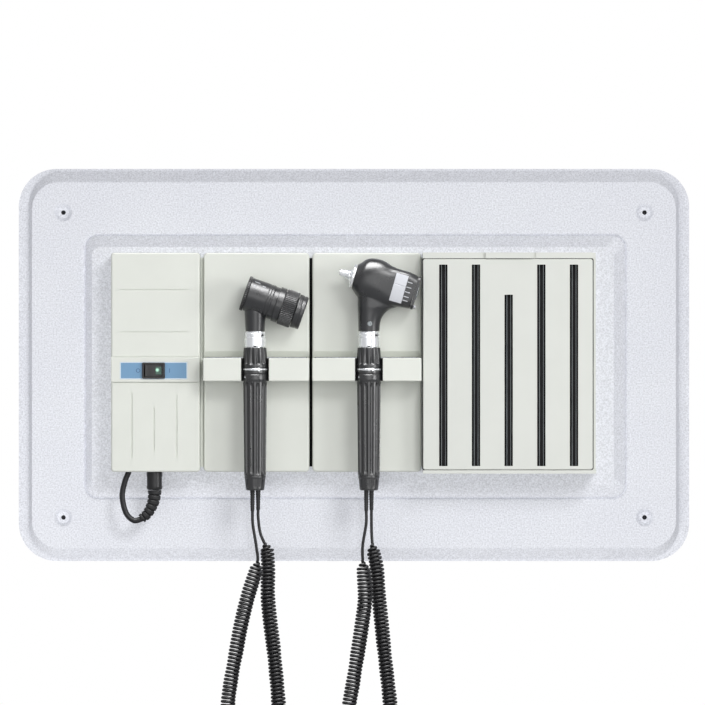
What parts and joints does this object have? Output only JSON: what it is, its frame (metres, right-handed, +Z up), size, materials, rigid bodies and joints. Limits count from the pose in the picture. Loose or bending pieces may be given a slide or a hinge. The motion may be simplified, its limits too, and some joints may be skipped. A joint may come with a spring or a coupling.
{
  "type": "wall diagnostic station with otoscope",
  "caption": "Wall-mounted diagnostic station: corded otoscope and illuminated skin magnifier in cradles, with a power module and ear specula dispenser on a moulded board.",
  "frame": {"origin": "centre of the backing board's rear face, on the wall plane", "axes": "+X to the viewer's right, +Y into the wall, +Z up; the instruments face -Y"},
  "size_m": [0.672, 0.0913, 0.6041],
  "materials": {
    "boardPlastic": "pebble-textured off-white",
    "backingPanel": "dark laminated panel",
    "housingPlastic": "fine satin, warm light grey",
    "stripBlue": "satin blue label strip",
    "blackPlastic": "satin black",
    "gripPlastic": "satin charcoal",
    "headPlastic": "satin charcoal",
    "rubber": "matt black",
    "chrome": "bright plated",
    "satinSteel": "satin",
    "brass": "bright",
    "glass": "clear, faintly blue",
    "greenLens": "tinted green",
    "circuitGreen": "coated board",
    "transformerIron": "lacquered laminations"
  },
  "bodies": {
    "station": {"wallboard": "boardPlastic", "backing_board": "backingPanel", "power_base": "blackPlastic", "power_cover": "housingPlastic", "switch_strip": "stripBlue", "switch_housing": "blackPlastic", "power_circuit_board": "circuitGreen", "power_transformer": "transformerIron", "lead_socket": "blackPlastic", "supply_plug": "blackPlastic", "plug_boot": "rubber", "supply_lead": "rubber", "cradle_housing_left": "housingPlastic", "cradle_housing_right": "housingPlastic", "cradle_liner_left": "rubber", "cradle_liner_right": "rubber", "cord_plug_left": "rubber", "cord_plug_right": "rubber", "cord_left": "rubber", "cord_right": "rubber", "dispenser_base": "housingPlastic", "dispenser_cover": "housingPlastic", "lid_hinge_pin": "satinSteel", "dispenser_channels": "blackPlastic"},
    "rocker": {"switch_rocker": "blackPlastic", "rocker_lens": "greenLens"},
    "lid": {"dispenser_lid": "housingPlastic"},
    "magnifier_handle": {"grip_left": "gripPlastic", "end_cap_left": "gripPlastic", "strain_relief_left": "rubber", "coupling_neck_left": "chrome", "contact_pin_left": "brass", "trim_ring_left": "chrome"},
    "magnifier_dimmer": {"rheostat_ring_left": "blackPlastic"},
    "magnifier_head": {"magnifier_body": "headPlastic", "led_ring": "circuitGreen"},
    "contact_plate": {"contact_ring": "blackPlastic", "contact_glass": "glass"},
    "focus": {"focus_ring": "blackPlastic"},
    "eyepiece_tube": {"eyepiece": "headPlastic", "eyepiece_lens": "glass"},
    "otoscope_handle": {"grip_right": "gripPlastic", "end_cap_right": "gripPlastic", "strain_relief_right": "rubber", "coupling_neck_right": "chrome", "contact_pin_right": "brass", "trim_ring_right": "chrome"},
    "otoscope_dimmer": {"rheostat_ring_right": "blackPlastic"},
    "otoscope_head": {"otoscope_shell": "headPlastic", "side_plate_front": "satinSteel", "side_plate_back": "satinSteel", "lens_pivot": "satinSteel", "otoscope_lamp": "brass", "port_screw": "satinSteel"},
    "speculum_holder": {"tip_holder": "chrome"},
    "lens_carrier": {"lens_frame": "headPlastic", "viewing_lens": "glass"}
  },
  "joints": [
    {"name": "rocker_tilt", "type": "hinge", "parent": "station", "child": "rocker", "pos_m": [-0.1996, -0.055, -0.0055], "axis": [0, 0, 1], "range_deg": [-16, 0]},
    {"name": "lid_open", "type": "hinge", "parent": "station", "child": "lid", "pos_m": [0.15, -0.031, 0.1091], "axis": [-1, 0, 0], "range_deg": [0, 85]},
    {"name": "magnifier_lift", "type": "slide", "parent": "station", "child": "magnifier_handle", "axis": [0, -0.8, 0.6], "range_m": [0, 0.06], "deforming": ["cord_left"]},
    {"name": "magnifier_dimmer_turn", "type": "hinge", "parent": "magnifier_handle", "child": "magnifier_dimmer", "pos_m": [-0.0983, -0.073, 0.007], "axis": [0, 0, 1], "range_deg": [0, 120]},
    {"name": "magnifier_bayonet", "type": "hinge", "parent": "magnifier_handle", "child": "magnifier_head", "pos_m": [-0.0983, -0.073, 0.03], "axis": [0, 0, 1], "range_deg": [-20, 0]},
    {"name": "contact_plate_turn", "type": "hinge", "parent": "magnifier_head", "child": "contact_plate", "pos_m": [-0.1088, -0.073, 0.0718], "axis": [0.9438, 0, -0.3305], "range_deg": [0, 30]},
    {"name": "focus_turn", "type": "hinge", "parent": "magnifier_head", "child": "focus", "pos_m": [-0.1088, -0.073, 0.0718], "axis": [0.9438, 0, -0.3305], "range_deg": [0, 120]},
    {"name": "eyepiece_travel", "type": "slide", "parent": "magnifier_head", "child": "eyepiece_tube", "axis": [0.9438, 0, -0.3305], "range_m": [0, 0.0031]},
    {"name": "otoscope_lift", "type": "slide", "parent": "station", "child": "otoscope_handle", "axis": [0, -0.8, 0.6], "range_m": [0, 0.06], "deforming": ["cord_right"]},
    {"name": "otoscope_dimmer_turn", "type": "hinge", "parent": "otoscope_handle", "child": "otoscope_dimmer", "pos_m": [0.0148, -0.073, 0.007], "axis": [0, 0, 1], "range_deg": [0, 120]},
    {"name": "otoscope_bayonet", "type": "hinge", "parent": "otoscope_handle", "child": "otoscope_head", "pos_m": [0.0148, -0.073, 0.03], "axis": [0, 0, 1], "range_deg": [-20, 0]},
    {"name": "speculum_holder_turn", "type": "hinge", "parent": "otoscope_head", "child": "speculum_holder", "pos_m": [0.0008, -0.073, 0.0881], "axis": [0.9613, 0, -0.2756], "range_deg": [0, 25]},
    {"name": "lens_swing", "type": "hinge", "parent": "otoscope_head", "child": "lens_carrier", "pos_m": [0.05687, -0.073, 0.05871], "axis": [0.9613, 0, -0.2756], "range_deg": [0, 100]}
  ],
  "couplings": [
    {"joint": "eyepiece_travel", "follows": "focus_turn", "m_per_rad": 0.00143}
  ]
}
